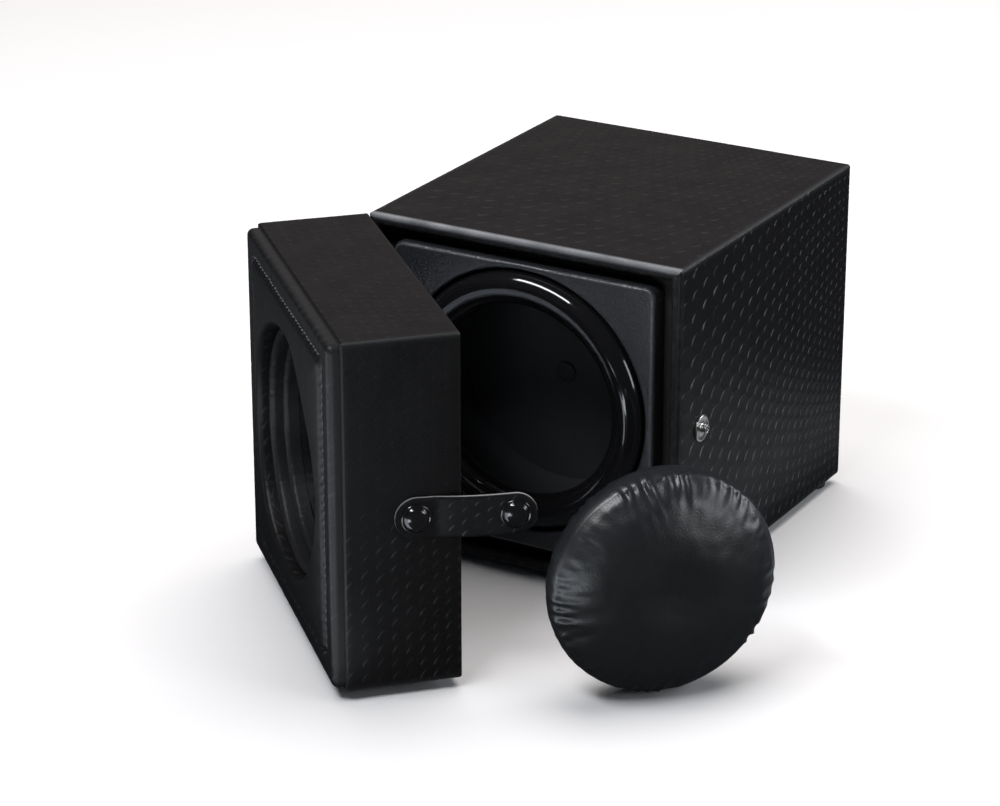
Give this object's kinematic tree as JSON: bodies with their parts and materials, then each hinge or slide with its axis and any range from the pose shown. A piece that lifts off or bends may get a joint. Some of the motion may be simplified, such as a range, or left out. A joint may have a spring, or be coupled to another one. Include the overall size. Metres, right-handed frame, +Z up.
{
  "type": "watch winder",
  "caption": "Single watch winder: a leather-covered box with a windowed swing door, a snap tab, a motor-driven round cup and a loose round watch cushion.",
  "frame": {"origin": "centre of the case's footprint, on the plane that its four feet stand on", "axes": "+X to the right and +Y to the back seen from the front, +Z up"},
  "size_m": [0.2318, 0.2882, 0.143],
  "materials": {
    "outer_leather": "snake-scale embossed, satin",
    "face_leather": "fine pebble grain, satin",
    "cushion_leather": "fine grain, satin",
    "black_board": "black-stained fibreboard",
    "lining": "short black nap",
    "gloss_black": "high gloss",
    "matt_black": "fine moulded matt",
    "clear_pane": "clear acrylic",
    "chrome": "bright",
    "black_metal": "gloss black",
    "steel": "plain",
    "bronze": "sintered bronze",
    "rubber": "matt",
    "foam": "open cell",
    "nylon": "natural nylon",
    "circuit_board": "solder mask"
  },
  "bodies": {
    "case": {"case_leather": "outer_leather", "face_leather": "face_leather", "case_top_board": "black_board", "case_bottom_board": "black_board", "case_left_board": "black_board", "case_right_board": "black_board", "baffle_board": "black_board", "carrier_board": "black_board", "face_board": "black_board", "back_panel": "black_board", "back_cleats": "black_board", "control_plate": "matt_black", "mode_switch_body": "matt_black", "snap_stud": "chrome", "rear_screws": "black_metal", "hinge_case_leaves": "steel", "hinge_pins": "steel", "hinge_case_screws": "steel", "foot_screws": "steel", "gearmotor_can": "steel", "gearmotor_gearbox": "steel", "gearmotor_screws": "steel", "power_inlet": "steel", "shaft_bush": "bronze", "feet": "rubber", "control_board": "circuit_board"},
    "door": {"door_top_board": "black_board", "door_bottom_board": "black_board", "door_left_board": "black_board", "door_right_board": "black_board", "door_front_board": "black_board", "door_leather": "outer_leather", "door_lining": "lining", "door_padded_panel": "outer_leather", "window_beads": "outer_leather", "window_step_ring": "black_board", "window_pane": "clear_pane", "pane_keeper": "matt_black", "keeper_screws": "black_metal", "hinge_door_leaves": "steel", "hinge_door_screws": "steel", "tab_anchor": "outer_leather", "tab_anchor_cap": "black_metal"},
    "tab": {"tab_flap": "outer_leather", "tab_snap_cap": "black_metal", "tab_snap_socket": "chrome"},
    "rotor": {"rotor_bezel": "gloss_black", "rotor_cup": "matt_black", "rotor_hub": "matt_black", "rotor_gear": "nylon", "rotor_shaft": "steel", "shaft_clip": "steel", "hub_screws": "steel", "hub_cap": "matt_black"},
    "pinion": {"drive_pinion": "nylon", "motor_shaft": "steel"},
    "mode_lever": {"mode_switch_lever": "matt_black"},
    "cushion": {"cushion_foam": "foam", "cushion_round_covers": "cushion_leather", "cushion_side_band": "cushion_leather"}
  },
  "joints": [
    {"name": "door_hinge", "type": "hinge", "parent": "case", "child": "door", "pos_m": [-0.07, -0.0765, 0.0735], "axis": [0, 0, -1], "range_deg": [-44, 121]},
    {"name": "tab_bend", "type": "hinge", "parent": "door", "child": "tab", "pos_m": [0.02441, -0.18157, 0.0722], "axis": [0, 0, -1], "range_deg": [-5, 20]},
    {"name": "rotor_spin", "type": "hinge", "parent": "case", "child": "rotor", "pos_m": [0, -0.0765, 0.076], "axis": [0, -1, 0], "continuous": true},
    {"name": "pinion_spin", "type": "hinge", "parent": "case", "child": "pinion", "pos_m": [0, -0.0765, 0.044], "axis": [0, -1, 0], "continuous": true},
    {"name": "mode_switch_slide", "type": "slide", "parent": "case", "child": "mode_lever", "axis": [1, 0, 0], "range_m": [-0.002, 0.002]},
    {"name": "cushion_lift", "type": "slide", "parent": "case", "child": "cushion", "axis": [0.501, -0.3006, 0.8116], "range_m": [0, 0.15]}
  ],
  "couplings": [
    {"joint": "pinion_spin", "follows": "rotor_spin", "ratio": -3}
  ]
}
